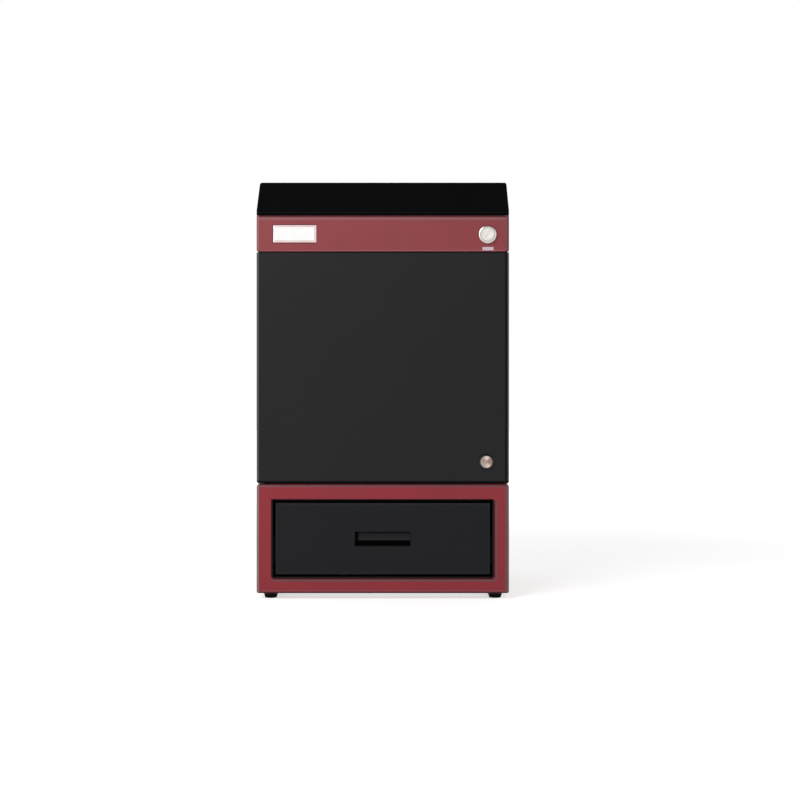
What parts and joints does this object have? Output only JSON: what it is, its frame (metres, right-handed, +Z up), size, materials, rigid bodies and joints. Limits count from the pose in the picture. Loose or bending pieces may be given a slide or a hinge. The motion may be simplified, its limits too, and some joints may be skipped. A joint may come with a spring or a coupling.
{
  "type": "gel documentation system",
  "caption": "Bench darkroom cabinet for imaging gels, with a camera in its sloped hood, a full-width locking door and an ultraviolet transilluminator in a drawer.",
  "frame": {"origin": "centre of the footprint, on the bench under the feet", "axes": "+X to the right seen from the front, +Y to the rear, +Z up"},
  "size_m": [0.43, 0.41, 0.719],
  "materials": {
    "red_paint": "satin",
    "charcoal_paint": "satin",
    "black_paint": "satin",
    "zinc_steel": "satin",
    "nickel": "polished",
    "aluminium": "satin",
    "black_plastic": "matte",
    "white_plastic": "matte",
    "rubber": "matte",
    "bronze": "satin",
    "board_green": "gloss",
    "lens": "polished",
    "filter_glass": "polished",
    "uv_glass": "polished",
    "tube_glass": "gloss"
  },
  "bodies": {
    "cabinet": {"base_housing": "red_paint", "base_pan": "zinc_steel", "feet": "rubber", "foot_screws": "zinc_steel", "mid_deck": "black_paint", "chamber_housing": "charcoal_paint", "rear_panel": "charcoal_paint", "panel_screws": "zinc_steel", "hinge_pins": "zinc_steel", "epi_lamps": "aluminium", "epi_diffusers": "white_plastic", "interlock_switch": "black_plastic", "camera_deck": "black_paint", "control_band": "red_paint", "hood": "black_paint", "camera_bracket": "zinc_steel", "camera_body": "black_plastic", "lens_barrel": "black_plastic", "lens_glass": "lens", "wheel_bridge": "zinc_steel", "wheel_motor": "black_plastic", "power_supply": "aluminium", "control_board": "board_green", "board_parts": "black_plastic", "button_housing": "nickel", "switch_body": "black_plastic", "fan_frame": "black_plastic", "fan_guard": "zinc_steel", "fan_screws": "zinc_steel", "usb_socket": "nickel", "mains_inlet": "black_plastic", "slide_brackets": "zinc_steel", "slide_outers": "zinc_steel"},
    "door": {"door_skin": "charcoal_paint", "door_inner_panel": "black_paint", "door_gasket": "rubber", "interlock_magnet": "black_plastic", "hinge_bushes": "bronze", "lock_barrel": "nickel"},
    "lock": {"lock_plug": "nickel", "lock_cam": "zinc_steel"},
    "drawer": {"slide_inners": "zinc_steel", "drawer_front": "charcoal_paint", "drawer_pull": "black_plastic", "drawer_tray": "zinc_steel", "transilluminator_top": "aluminium", "uv_filter_glass": "uv_glass", "uv_tubes": "tube_glass", "tube_caps": "aluminium", "lamp_holders": "white_plastic", "lamp_reflector": "aluminium", "ballast": "aluminium"},
    "slide_carriage": {"slide_middles": "zinc_steel"},
    "power_button": {"button_cap": "nickel"},
    "fan": {"fan_rotor": "black_plastic"},
    "wheel": {"filter_wheel": "black_paint", "wheel_filters": "filter_glass"},
    "focus": {"focus_ring": "black_plastic"},
    "zoom": {"zoom_ring": "black_plastic"},
    "iris": {"iris_ring": "black_plastic"}
  },
  "joints": [
    {"name": "door_hinge", "type": "hinge", "parent": "cabinet", "child": "door", "pos_m": [-0.205, -0.19, 0.3946], "axis": [0, 0, -1], "range_deg": [0, 110]},
    {"name": "lock_turn", "type": "hinge", "parent": "door", "child": "lock", "pos_m": [0.176, -0.2, 0.2338], "axis": [0, 1, 0], "range_deg": [0, 90]},
    {"name": "drawer_slide", "type": "slide", "parent": "cabinet", "child": "drawer", "axis": [0, -1, 0], "range_m": [0, 0.25]},
    {"name": "carriage_slide", "type": "slide", "parent": "cabinet", "child": "slide_carriage", "axis": [0, -1, 0], "range_m": [0, 0.125]},
    {"name": "button_press", "type": "slide", "parent": "cabinet", "child": "power_button", "axis": [0, 1, 0], "range_m": [0, 0.002], "stiffness_N_per_m": 800},
    {"name": "fan_spin", "type": "hinge", "parent": "cabinet", "child": "fan", "pos_m": [-0.13, 0.186, 0.685], "axis": [0, 1, 0], "continuous": true},
    {"name": "wheel_turn", "type": "hinge", "parent": "cabinet", "child": "wheel", "pos_m": [0.052, 0, 0.5985], "axis": [0, 0, 1], "continuous": true},
    {"name": "focus_turn", "type": "hinge", "parent": "cabinet", "child": "focus", "pos_m": [0, 0, 0.615], "axis": [0, 0, 1], "range_deg": [0, 120]},
    {"name": "zoom_turn", "type": "hinge", "parent": "cabinet", "child": "zoom", "pos_m": [0, 0, 0.631], "axis": [0, 0, 1], "range_deg": [0, 70]},
    {"name": "iris_turn", "type": "hinge", "parent": "cabinet", "child": "iris", "pos_m": [0, 0, 0.647], "axis": [0, 0, 1], "range_deg": [0, 75]}
  ],
  "couplings": [
    {"joint": "carriage_slide", "follows": "drawer_slide", "ratio": 0.5}
  ]
}
